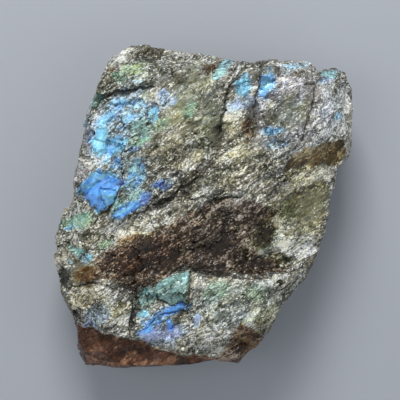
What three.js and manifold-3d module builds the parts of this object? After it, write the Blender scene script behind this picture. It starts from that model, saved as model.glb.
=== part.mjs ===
// A rough labradorite chunk, lying on its flat back cleavage. Millimetres, +Z up.
//
// The stone is one solid. It starts as a barrel-sided slab with the chunk's outline. Flat cleavage
// planes take off its faces and corners. An upper body and a lower ledge are cleaved apart and
// joined again, so that a step runs between them. Cracks and small chips are cut in last.
import * as THREE from 'three';
import { mergeVertices } from 'three/addons/utils/BufferGeometryUtils.js';
import Module from 'manifold-3d';

const wasm = await Module();
wasm.setup();

// Driving dimensions.
const THICKNESS = 42; // rest face to the highest point of the flashing face
const WAIST = 19; // height at which the stone is widest
const TOP_TAPER = 0.06; // share of its width that the slab loses from the waist to the top
const FOOT_TAPER = 0.17; // and from the waist down to the rest face
const SIDE_STEPS = 5; // courses of facets round the side
const SIDE_ROUGHNESS = { inward: 0.9, outward: 0.2, upDown: 1.4 }; // how far a side corner wanders
const TOOL = 300; // side of the block that a cleavage plane removes, larger than the stone
const CHIP_COUNT = 46;
const CHIP_DEPTH = { least: 0.3, most: 1.5 };
const CRACK_RISE = 6; // how far a crack's wedge stands out of the surface it cuts
const CRACK_OVERRUN = 0.6; // how far each stretch of a crack runs on past its ends
const UP = new THREE.Vector3(0, 0, 1);
const WELD = 1e-4; // corners closer than this are one corner
const SEED = 41;

// The chunk's outline at its waist, counter-clockwise from the tip of the crown knob.
const OUTLINE = [
  [-25, 54], [-29, 51.5], [-31.5, 48], [-35, 42], [-37.5, 36], [-40, 28.5], [-41.5, 21],
  [-42.5, 14], [-43.5, 8], [-45, 3], [-48, -4.5], [-49.5, -11], [-50, -17], [-49.5, -23],
  [-48, -29], [-45, -36], [-42.5, -42], [-43, -48], [-40.5, -53], [-30, -54], [-9, -54],
  [-2, -52.8], [4, -52], [11, -52.6], [15.5, -49], [21, -42], [26.5, -33.5], [33, -24],
  [37, -18], [39.5, -11], [42, -2], [43.5, 6], [44, 12.5], [48, 17], [49.5, 21.5], [49.3, 26],
  [50, 34], [50, 39.5], [46.5, 44], [43.5, 46], [38, 45.2], [34.5, 47.6], [30, 48.8], [20, 48.3],
  [15, 48], [11, 49], [5.5, 49.4], [0, 51], [-9, 52.2], [-17, 54],
];

// Each cleavage is a plane through a point. `tilt` is its outward normal's angle from straight up
// and `toward` is the compass direction that the normal leans to, 0 along +X and 90 along +Y.
const UPPER_BODY = [
  { name: 'middle face', at: [5, 20, THICKNESS], tilt: 2, toward: 50 },
  { name: 'flash flank', at: [-14, 15, 41.6], tilt: 13, toward: 175 },
  { name: 'far left flank', at: [-38.5, 14, 35], tilt: 52, toward: 176 },
  { name: 'crown knob face', at: [-22, 42, 39], tilt: 27, toward: 112 },
  { name: 'crown knob rim', at: [-22, 51.5, 31], tilt: 62, toward: 98 },
  { name: 'top right face', at: [22, 38, 41], tilt: 14, toward: 84 },
  { name: 'top rim', at: [18, 45.8, 35], tilt: 60, toward: 88 },
  { name: 'right shoulder', at: [36, 28, 40.5], tilt: 20, toward: 5 },
  { name: 'right rim', at: [47, 28, 31], tilt: 66, toward: 3 },
  { name: 'right corner', at: [44.5, 42, 34], tilt: 50, toward: 42 },
  { name: 'smoky corner', at: [33, 19, 40], tilt: 22, toward: -48 },
  { name: 'lower right flank', at: [35, -8, 36], tilt: 38, toward: -14 },
  { name: 'smoky band', at: [-5, -5, 41.2], tilt: 13, toward: -66 },
  { name: 'band corner', at: [-41, -17, 34], tilt: 38, toward: 190 },
];
const LOWER_LEDGE = [
  { name: 'ledge top', at: [0, -21.5, 37], tilt: 66, toward: 90 },
  { name: 'ledge face', at: [-5, -28, 40.2], tilt: 6, toward: -85 },
  { name: 'ledge left face', at: [-40, -33, 34], tilt: 40, toward: 200 },
  { name: 'smoky foot', at: [-20, -43, 38.5], tilt: 63, toward: -98 },
  { name: 'foot corner', at: [8, -47, 35], tilt: 52, toward: -72 },
  { name: 'ledge right flank', at: [24, -32, 35.5], tilt: 44, toward: -36 },
];
const UNDERSIDE = [
  { name: 'back left', at: [-40, 8, 9], tilt: 126, toward: 172 },
  { name: 'back lower left', at: [-43, -34, 9], tilt: 130, toward: 212 },
  { name: 'back foot', at: [-10, -50, 8], tilt: 121, toward: 268 },
  { name: 'back lower right', at: [26, -32, 9], tilt: 128, toward: 322 },
  { name: 'back right', at: [41, 5, 7], tilt: 134, toward: -4 },
  { name: 'back top right', at: [43, 40, 11], tilt: 138, toward: 50 },
  { name: 'back top', at: [5, 47, 8], tilt: 120, toward: 92 },
  { name: 'back crown', at: [-28, 48, 10], tilt: 133, toward: 130 },
  { name: 'back keel', at: [20, -28, 2.5], tilt: 163, toward: 300 },
];

// Cracks in the flashing face, as points on the surface. Each stretch is a wedge-shaped groove.
const CRACKS = [
  {
    name: 'knob crevice', width: 2.2, depth: 2.2,
    path: [[-37, 32, 36], [-33, 34.6, 37.5], [-28.6, 37, 38.6], [-20.6, 38, 40.2], [-16.8, 38.6, 41]],
  },
  {
    name: 'flash block seam', width: 1, depth: 1.8,
    path: [[-26.4, 11, 39], [-27.4, 5.6, 38.6], [-29, 0.8, 38.2], [-33.8, -4, 37]],
  },
  {
    name: 'long diagonal seam', width: 1.2, depth: 1.8,
    path: [[-1, 12.6, 41.8], [-8, 6, 41.6], [-14.4, 0.4, 41.2], [-23, -4.6, 39.6]],
  },
  {
    name: 'chimney crack', width: 1.2, depth: 2,
    path: [[12.4, 43.4, 40.5], [7.2, 35.7, 41.4], [5.7, 30, 41.8], [4.6, 24, 42]],
  },
  {
    name: 'upright crack', width: 1.2, depth: 2.4,
    path: [[17.8, 44, 40.4], [17.1, 38.5, 41], [16.1, 34, 41.5], [15.7, 25, 42], [15.7, 16.6, 42]],
  },
  {
    name: 'right crack', width: 0.9, depth: 1.6,
    path: [[35, 39, 40], [35.3, 35, 40.2], [32.5, 25.4, 41], [31.8, 21, 41]],
  },
  {
    name: 'ledge seam', width: 1.5, depth: 2.2,
    path: [[-22.5, -30.9, 40], [-21.8, -34, 39.8], [-23.4, -37, 39.4], [-23.9, -40.6, 39]],
  },
];

// A repeatable stream of numbers from 0 to 1.
function randomStream(seed) {
  let state = seed;
  return () => {
    state = (state * 1664525 + 1013904223) % 4294967296;
    return state / 4294967296;
  };
}

const random = randomStream(SEED);
const between = (low, high) => low + (high - low) * random();

// The geometry with each corner stored once, whatever its normals were.
function weld(geometry) {
  geometry.deleteAttribute('normal');
  geometry.deleteAttribute('uv');
  return mergeVertices(geometry, WELD);
}

// A closed three.js geometry as a manifold-3d solid.
function solidFrom(geometry) {
  const merged = weld(geometry);
  return new wasm.Manifold(new wasm.Mesh({
    numProp: 3,
    vertProperties: merged.attributes.position.array,
    triVerts: new Uint32Array(merged.index.array),
  }));
}

// A manifold-3d solid as a three.js geometry.
function geometryFrom(solid) {
  const mesh = solid.getMesh();
  const geometry = new THREE.BufferGeometry();
  geometry.setAttribute('position', new THREE.BufferAttribute(mesh.vertProperties, 3));
  geometry.setIndex(new THREE.BufferAttribute(mesh.triVerts, 1));
  return geometry;
}

// A unit vector at an angle from straight up, leaning to a compass direction.
function leaning(tilt, toward) {
  const lean = THREE.MathUtils.degToRad(tilt);
  const compass = THREE.MathUtils.degToRad(toward);
  return new THREE.Vector3(
    Math.sin(lean) * Math.cos(compass),
    Math.sin(lean) * Math.sin(compass),
    Math.cos(lean),
  );
}

// The block of stone beyond the plane through `at` with that outward normal.
function blockBeyond(at, normal) {
  const block = new THREE.BoxGeometry(TOOL, TOOL, TOOL);
  block.translate(0, 0, TOOL / 2);
  block.applyQuaternion(new THREE.Quaternion().setFromUnitVectors(UP, normal));
  block.translate(at.x, at.y, at.z);
  return solidFrom(block);
}

function cleave(stone, cleavages) {
  return cleavages.reduce((rest, { at, tilt, toward }) => (
    rest.subtract(blockBeyond(new THREE.Vector3(...at), leaning(tilt, toward)))
  ), stone);
}

// How wide the slab is at a height, as a share of its outline.
function girth(z) {
  return z > WAIST
    ? 1 - TOP_TAPER * ((z - WAIST) / (THICKNESS - WAIST)) ** 1.5
    : 1 - FOOT_TAPER * ((WAIST - z) / WAIST) ** 2;
}

// The slab that the chunk is split from: the outline, widest at the waist, with uneven sides.
function slab() {
  const outline = new THREE.Shape(OUTLINE.map(([x, y]) => new THREE.Vector2(x, y)));
  const geometry = weld(new THREE.ExtrudeGeometry(
    outline, { depth: THICKNESS, steps: SIDE_STEPS, bevelEnabled: false },
  ));
  const { inward, outward, upDown } = SIDE_ROUGHNESS;
  const corners = geometry.attributes.position;
  for (let i = 0; i < corners.count; i += 1) {
    const corner = new THREE.Vector3().fromBufferAttribute(corners, i);
    const onTheSide = corner.z > 0 && corner.z < THICKNESS;
    const out = Math.hypot(corner.x, corner.y);
    const wander = onTheSide ? Math.min(between(-inward, inward), outward) : 0;
    const share = girth(corner.z) + wander / out;
    const rise = onTheSide ? between(-upDown, upDown) : 0;
    corners.setXYZ(i, corner.x * share, corner.y * share, corner.z + rise);
  }
  return solidFrom(geometry);
}

// A wedge with its edge down, along one stretch of a crack.
function wedge(from, to, width, depth) {
  const spread = (width / 2) * (1 + CRACK_RISE / depth);
  const section = new THREE.Shape([
    new THREE.Vector2(0, -depth),
    new THREE.Vector2(spread, CRACK_RISE),
    new THREE.Vector2(-spread, CRACK_RISE),
  ]);
  const run = new THREE.Vector2(to[0] - from[0], to[1] - from[1]);
  const length = run.length() + 2 * CRACK_OVERRUN;
  const slope = (to[2] - from[2]) / run.length();
  const geometry = new THREE.ExtrudeGeometry(section, { depth: length, bevelEnabled: false });
  geometry.translate(0, 0, -CRACK_OVERRUN);
  geometry.applyMatrix4(new THREE.Matrix4().makeShear(0, 0, 0, 0, 0, slope));
  geometry.rotateX(Math.PI / 2); // the section stands up and the length runs along -Y
  geometry.rotateZ(run.angle() + Math.PI / 2);
  geometry.translate(from[0], from[1], from[2]);
  return solidFrom(geometry);
}

function crackWedges({ path, width, depth }) {
  return path.slice(1).map((to, i) => wedge(path[i], to, width, depth));
}

function furthestCorner(geometry, direction) {
  const corners = geometry.attributes.position;
  const furthest = new THREE.Vector3();
  for (let i = 0; i < corners.count; i += 1) {
    const corner = new THREE.Vector3().fromBufferAttribute(corners, i);
    if (corner.dot(direction) > furthest.dot(direction)) furthest.copy(corner);
  }
  return furthest;
}

// Takes a small cap off the stone wherever it stands out furthest in a random direction, above or
// below the waist, so that the rim is bruised all round.
function chipRim(stone) {
  return Array.from({ length: CHIP_COUNT }).reduce((rest, _, i) => {
    const tilt = i % 3 ? between(38, 68) : between(108, 140);
    const normal = leaning(tilt, (i * 360) / CHIP_COUNT + between(-12, 12));
    const depth = between(CHIP_DEPTH.least, CHIP_DEPTH.most);
    const tip = furthestCorner(geometryFrom(rest), normal);
    return rest.subtract(blockBeyond(tip.addScaledVector(normal, -depth), normal));
  }, stone);
}

// Puts the origin under the middle of the stone's footprint, on the rest face.
function centre(geometry) {
  geometry.computeBoundingBox();
  const { min, max } = geometry.boundingBox;
  return geometry.translate(-(min.x + max.x) / 2, -(min.y + max.y) / 2, -min.z);
}

function chunk() {
  const rough = cleave(slab(), UNDERSIDE);
  const body = cleave(rough, UPPER_BODY).add(cleave(rough, LOWER_LEDGE));
  const cracked = CRACKS.flatMap(crackWedges).reduce((rest, cut) => rest.subtract(cut), body);
  return centre(geometryFrom(chipRim(cracked)));
}

const stone = new THREE.Mesh(
  chunk(),
  new THREE.MeshStandardMaterial({ color: 0x6f6c5f, roughness: 0.55, metalness: 0 }),
);
stone.name = 'labradorite_chunk';

const part = new THREE.Group();
part.add(stone);

export default part;
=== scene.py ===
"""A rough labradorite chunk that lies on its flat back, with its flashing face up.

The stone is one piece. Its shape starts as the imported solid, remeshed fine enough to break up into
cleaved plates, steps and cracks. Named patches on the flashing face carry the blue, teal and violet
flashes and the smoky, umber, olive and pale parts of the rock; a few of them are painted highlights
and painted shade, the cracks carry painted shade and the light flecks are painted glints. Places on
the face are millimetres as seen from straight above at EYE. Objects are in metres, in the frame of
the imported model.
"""
import logging
import math
from dataclasses import dataclass
from enum import Enum
from typing import Any, Sequence, Union

import bpy
import numpy as np
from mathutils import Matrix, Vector


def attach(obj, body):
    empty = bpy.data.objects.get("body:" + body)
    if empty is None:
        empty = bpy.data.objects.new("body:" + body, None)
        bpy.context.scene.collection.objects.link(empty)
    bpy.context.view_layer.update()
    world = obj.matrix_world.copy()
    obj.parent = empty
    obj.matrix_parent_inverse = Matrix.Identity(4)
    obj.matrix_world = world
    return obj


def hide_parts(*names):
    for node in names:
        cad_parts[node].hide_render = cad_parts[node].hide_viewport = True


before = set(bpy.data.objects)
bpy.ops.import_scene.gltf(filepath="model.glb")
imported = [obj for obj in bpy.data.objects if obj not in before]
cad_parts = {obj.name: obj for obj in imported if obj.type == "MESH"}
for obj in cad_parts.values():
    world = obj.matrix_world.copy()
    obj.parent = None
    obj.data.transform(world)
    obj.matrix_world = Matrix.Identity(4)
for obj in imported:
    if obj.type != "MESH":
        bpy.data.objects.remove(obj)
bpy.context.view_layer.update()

log = logging.getLogger("labradorite")

MM = 0.001
CAD_NODE = "labradorite_chunk"
BODY = "root"
EYE = (-1.5, 2.2, 436.0)  # the point that the face is seen from, in millimetres
WAIST_HEIGHT = 16.0  # millimetres above the floor where the face's places are true to size
FAR_OUTSIDE = -9.0  # the depth of a place that is well clear of a shape

Points = np.ndarray  # a row for each point
Field = np.ndarray  # a number for each point
Band = tuple[float, float]  # where a soft change starts and ends


# Places and shapes on the flashing face


class Hue(Enum):
    """Where a flash's colour lies on the finish's ramp of flash colours."""

    LIME = 0.0
    GREEN = 0.14
    TEAL = 0.3
    AQUA = 0.44
    CYAN = 0.56
    SKY = 0.66
    BLUE = 0.76
    INDIGO = 0.88
    LAVENDER = 1.0


class Body(Enum):
    """What a patch of rock is made of, named by the mesh attribute that carries it; PALE and DARK also
    carry a few painted highlights and painted shade.
    """

    SMOKY = "smoky"
    UMBER = "umber"
    RUSSET = "russet"
    OLIVE = "olive"
    SAGE = "sage"
    MINT = "mint"
    LILAC = "lilac"
    GLASSY = "glassy"
    PALE = "pale"
    DARK = "dark"


@dataclass(frozen=True)
class Oval:
    """A turned ellipse on the face, in millimetres and degrees."""

    x: float
    y: float
    long: float
    wide: float
    angle: float

    def depth(self, places: Points) -> Field:
        """How far inside the ellipse each place is, 1 at its middle, 0 on its edge."""
        turn = math.radians(self.angle)
        dx, dy = places[:, 0] - self.x, places[:, 1] - self.y
        along = (dx * math.cos(turn) + dy * math.sin(turn)) / self.long
        across = (dy * math.cos(turn) - dx * math.sin(turn)) / self.wide
        return 1.0 - np.hypot(along, across)


@dataclass(frozen=True)
class Outline:
    """A closed outline on the face, in millimetres, whose full depth starts `core` inside it."""

    corners: tuple[tuple[float, float], ...]
    core: float = 2.0

    def depth(self, places: Points) -> Field:
        """How far inside the outline each place is, 1 from `core` inwards, 0 on its edge."""
        inside = np.zeros(len(places), bool)
        nearest = np.full(len(places), np.inf)
        for start, end in zip(self.corners, self.corners[1:] + self.corners[:1]):
            nearest = np.minimum(nearest, distance_to_stretch(places, start, end)[0])
            crosses = (start[1] > places[:, 1]) != (end[1] > places[:, 1])
            rise = end[1] - start[1] or 1.0
            at_x = start[0] + (end[0] - start[0]) * (places[:, 1] - start[1]) / rise
            inside ^= crosses & (places[:, 0] < at_x)
        return np.clip(np.where(inside, nearest, -nearest) / self.core, FAR_OUTSIDE, 1.0)


def distance_to_stretch(places: Points, start: Sequence[float],
                        end: Sequence[float]) -> tuple[Field, Field]:
    """How far each place is from a straight stretch.

    Args:
        places: Places on the face, one row each.
        start: Where the stretch starts.
        end: Where it ends.

    Returns:
        The distance, and the share of the stretch at the nearest point.
    """
    origin, run = np.array(start), np.array(end) - np.array(start)
    share = np.clip((places - origin) @ run / (run @ run), 0.0, 1.0)
    return np.linalg.norm(places - origin - share[:, None] * run, axis=1), share


Shape = Union[Oval, Outline]


@dataclass(frozen=True)
class Flash:
    """A patch that flashes."""

    name: str
    hue: Hue
    shape: Shape
    amount: float


@dataclass(frozen=True)
class Mark:
    """A patch of rock, with how much of it is of each kind; a few marks are painted highlights and others
    painted shade.
    """

    name: str
    shape: Shape
    amounts: dict[Body, float]


@dataclass(frozen=True)
class Plate:
    """A plate of stone that stands out of the face, or sinks into it where `rise` is negative."""

    name: str
    shape: Shape
    rise: float
    edge: float = 0.35


@dataclass(frozen=True)
class Crack:
    """A crack along a path on the face, with its width and depth in millimetres."""

    name: str
    path: tuple[tuple[float, float], ...]
    width: float
    depth: float

    def darkness(self) -> float:
        """How dark the painted shade on the crack's middle line is, from 0 to 1, more for a deeper crack.
        """
        return min(1.0, 0.35 + 0.5 * self.depth)

    def closeness(self, places: Points, lip: float = 0.2) -> Field:
        """How near each place is to the crack's middle line.

        Args:
            places: Places on the face, one row each.
            lip: How far the crack's lips lie beyond half its width.

        Returns:
            1 on the middle line, 0 on the lips and less beyond; the lips close up at both ends.
        """
        lengths = [math.dist(start, end) for start, end in zip(self.path, self.path[1:])]
        nearness = np.full(len(places), FAR_OUTSIDE)
        passed = 0.0
        for start, end, length in zip(self.path, self.path[1:], lengths):
            away, share = distance_to_stretch(places, start, end)
            along = (passed + share * length) / sum(lengths)
            opening = np.sqrt(np.clip(4.0 * along * (1.0 - along), 0.02, 1.0))
            nearness = np.maximum(nearness, 1.0 - away / (0.5 * self.width * opening + lip))
            passed += length
        return nearness


GREAT_BLOCK = Outline(((-42.5, 6.5), (-39.5, 10), (-36, 12.5), (-33.5, 11.5), (-29, 10), (-30, 6),
    (-30.5, 2), (-33.5, -1), (-36, -2), (-39.5, 2)))
TEAL_BLOCK = Outline(((-16, -26), (-14, -24), (-10, -23), (-5.5, -22.5), (-5.5, -28.5), (-6.5, -33),
    (-11.5, -33), (-16, -31.5), (-17, -28.5)))
BAND = Outline(((-38, -19), (-36, -15.5), (-31.5, -14), (-27.5, -12.5), (-22, -10), (-15, -7.5),
    (-9, -4), (-3, -0.5), (1, 2.5), (7.5, 3.5), (14, 3), (19.5, 0.5), (24.5, -2), (25.5, -7.5),
    (24.5, -12.5), (19.5, -15), (19.5, -17.5), (27, -19), (28, -21.5), (19.5, -23), (10.5, -23),
    (1, -22.5), (-5, -21), (-11, -22.5), (-15, -27), (-20, -29), (-25, -29.5), (-30, -26.5),
    (-35, -24), (-37, -21)), 4.5)
CORNER = Outline(((31, 18), (34.5, 20), (40, 21.3), (48, 22.3), (49, 19.5), (47.5, 16.5), (44, 14),
    (38.5, 13.3), (34, 14), (31, 13), (27.5, 11.5), (28, 14.5)), 1.7)
FOOT = Outline(((-56, -37), (-42.5, -40.5), (-35, -42.5), (-26.5, -44), (-21.5, -46), (-15, -48.5),
    (-7.5, -50.2), (0, -51.2), (7.5, -52), (12, -51.5), (15, -54), (4, -62), (-10, -70),
    (-56, -70)))
WEDGE = Outline(((10.5, -41), (12.5, -39), (15.5, -41), (18, -43), (22, -46), (20, -52), (14, -55),
    (6, -54), (2, -51.5), (6.5, -49), (8.5, -45)), 1.6)

FLASHES = (
    Flash("great block", Hue.BLUE, GREAT_BLOCK, 1),
    Flash("block crown", Hue.SKY, Oval(-33.5, 10.5, 3.5, 1.2, 5), 1.1),
    Flash("above the block", Hue.SKY, Oval(-30, 13.2, 2.6, 1.6, 20), 0.64),
    Flash("block left wing", Hue.SKY, Oval(-39.5, 8, 4.5, 1.5, 50), 1.1),
    Flash("block right", Hue.INDIGO, Oval(-30, 8, 1.5, 2.5, 90), 0.95),
    Flash("block lower right", Hue.SKY, Oval(-32, 3, 1.5, 2.5, 80), 1.05),
    Flash("block heart", Hue.SKY, Oval(-34.5, 1.5, 1.5, 2.5, 70), 1),
    Flash("leaf", Hue.CYAN, Oval(-35.5, 22.3, 4.6, 2.1, 76), 1.25),
    Flash("leaf edge", Hue.INDIGO, Oval(-39.5, 24, 2.5, 1, 80), 0.7),
    Flash("beside the leaf", Hue.SKY, Oval(-31, 20.5, 4.5, 2.5, 55), 0.9),
    Flash("below the knob", Hue.SKY, Oval(-30, 35, 3.5, 1.6, 25), 0.65),
    Flash("under the crevice", Hue.SKY, Oval(-33, 30, 4.5, 2.2, 45), 0.62),
    Flash("inner shard", Hue.SKY, Oval(-26.5, 30, 2.5, 1.6, 30), 0.6),
    Flash("bright shard", Hue.CYAN, Oval(-17.5, 31, 3, 1.5, 70), 0.85),
    Flash("violet shard", Hue.INDIGO, Oval(-14, 37, 2.5, 1.3, 80), 0.7),
    Flash("lavender fleck", Hue.LAVENDER, Oval(-11, 35.5, 2, 1.5, 45), 0.5),
    Flash("cyan glints", Hue.CYAN, Oval(-27.5, 21.5, 2.5, 1, 60), 0.8),
    Flash("small cyan", Hue.CYAN, Oval(-21, 23.5, 1.5, 1, 0), 0.7),
    Flash("violet grain", Hue.INDIGO, Oval(-24, 19, 2, 1, 0), 0.6),
    Flash("blue grain", Hue.BLUE, Oval(-29.5, 15.5, 1.5, 1.5, 30), 0.75),
    Flash("teal field", Hue.SKY, Oval(-24, 9.8, 6.5, 3.2, 65), 0.64),
    Flash("teal field light", Hue.TEAL, Oval(-24.5, 12.5, 2, 1.5, 40), 0.7),
    Flash("violet streak", Hue.INDIGO, Oval(-15, 7.5, 3.5, 1.5, 15), 0.8),
    Flash("lower leaf", Hue.BLUE, Oval(-26.5, -1, 4.5, 2, 30), 0.95),
    Flash("lower leaf glint", Hue.CYAN, Oval(-27.5, -1.5, 2.5, 1, 30), 1.05),
    Flash("lower leaf tip", Hue.INDIGO, Oval(-20.5, 2.5, 2.5, 2, 40), 0.8),
    Flash("lower leaf root", Hue.TEAL, Oval(-29.5, 0.5, 3, 1.5, 50), 0.6),
    Flash("block foot", Hue.CYAN, Oval(-36, -1.5, 1.5, 1, 45), 0.85),
    Flash("left green", Hue.GREEN, Oval(-42.5, -5, 4.5, 2, 15), 0.85),
    Flash("left blue", Hue.BLUE, Oval(-45, -7, 1.5, 1, 20), 0.8),
    Flash("left teal", Hue.TEAL, Oval(-42.5, -15, 2.5, 1, -20), 0.85),
    Flash("left pale", Hue.CYAN, Oval(-40.5, -17.5, 2, 1.5, 20), 0.62),
    Flash("left spot", Hue.BLUE, Oval(-46.5, -19, 1, 0.5, 0), 0.9),
    Flash("mint", Hue.GREEN, Oval(-34, -13, 2.5, 1.5, 20), 0.44),
    Flash("teal block", Hue.TEAL, TEAL_BLOCK, 0.7),
    Flash("slate beside the teal block", Hue.TEAL, Oval(-19.5, -31, 4, 3, 50), 0.6),
    Flash("teal block corner", Hue.AQUA, Oval(-7, -25, 2, 1.5, 70), 0.8),
    Flash("blue band", Hue.BLUE, Oval(-10, -35, 4.5, 1.5, 12), 0.95),
    Flash("blue drop", Hue.BLUE, Oval(-16.8, -39, 6, 1.9, 38), 0.86),
    Flash("blue tail", Hue.BLUE, Oval(-11.5, -40.5, 2.5, 1.5, -60), 0.85),
    Flash("ledge cyan", Hue.CYAN, Oval(-21, -36.5, 1.8, 1.2, 20), 0.98),
    Flash("ledge lavender", Hue.LAVENDER, Oval(-14, -42.8, 7, 2.8, 10), 0.72),
    Flash("slate face", Hue.LAVENDER, Oval(-36.5, -37, 4.5, 3, 50), 0.5),
    Flash("violet sliver", Hue.LAVENDER, Oval(-2.5, -38.5, 1.8, 0.8, 60), 0.8),
    Flash("ledge green", Hue.GREEN, Oval(4, -29, 4.5, 3, 30), 0.42),
    Flash("ledge lime", Hue.LIME, Oval(17.5, -29.5, 3.5, 2.5, 10), 0.4),
    Flash("aqua streak", Hue.AQUA, Oval(6.5, 47, 4, 1.5, 50), 0.8),
    Flash("left window", Hue.CYAN, Oval(13.2, 41, 3.4, 2.2, 78), 0.93),
    Flash("right window", Hue.SKY, Oval(21, 41.3, 3.8, 2.4, 75), 0.95),
    Flash("right window heart", Hue.CYAN, Oval(21, 41, 3, 1.8, 75), 0.97),
    Flash("window foot", Hue.LAVENDER, Oval(12.5, 35, 4.5, 2, 15), 0.6),
    Flash("right bar", Hue.SKY, Oval(23.5, 26, 3.5, 1.5, 10), 0.78),
    Flash("right bar shade", Hue.SKY, Oval(25, 21.5, 3.5, 2, 10), 0.4),
    Flash("rim light", Hue.SKY, Oval(30.5, 47.5, 4.5, 1, 8), 0.52),
    Flash("corner tip", Hue.AQUA, Oval(42.5, 45.3, 2.6, 1.4, 10), 0.85),
    Flash("shoulder fleck", Hue.SKY, Oval(46, 30.5, 1.5, 1, 40), 0.6),
    Flash("middle green", Hue.GREEN, Oval(-5, 32.5, 3, 2, 55), 0.45),
    Flash("corner lavender", Hue.LAVENDER, Oval(40.5, 43, 2, 1, 0), 0.55),
    Flash("knob lime", Hue.LIME, Oval(-24.5, 47, 3.5, 2, 15), 0.5),
    Flash("knob green", Hue.GREEN, Oval(-29, 44, 2, 2, 30), 0.5),
    Flash("crevice slate", Hue.TEAL, Oval(-37, 36, 3.5, 2, 40), 0.6),
    Flash("scattered field", Hue.SKY, Oval(-28.5, 27.5, 13, 9.5, 60), 0.4),
    Flash("green among the blue", Hue.GREEN, Oval(-22.5, 22.5, 4, 2, 10), 0.6),
    Flash("teal among the blue", Hue.TEAL, Oval(-21.5, 26.5, 4.5, 3, 20), 0.6),
    Flash("green inside the shard", Hue.GREEN, Oval(-15, 28, 3, 2.2, 30), 0.5),
    Flash("foot of the field", Hue.SKY, Oval(-31, 16, 5, 2, 10), 0.4),
    Flash("slate beside the block", Hue.TEAL, Oval(-25, 4, 3, 5, 20), 0.55),
)

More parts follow.
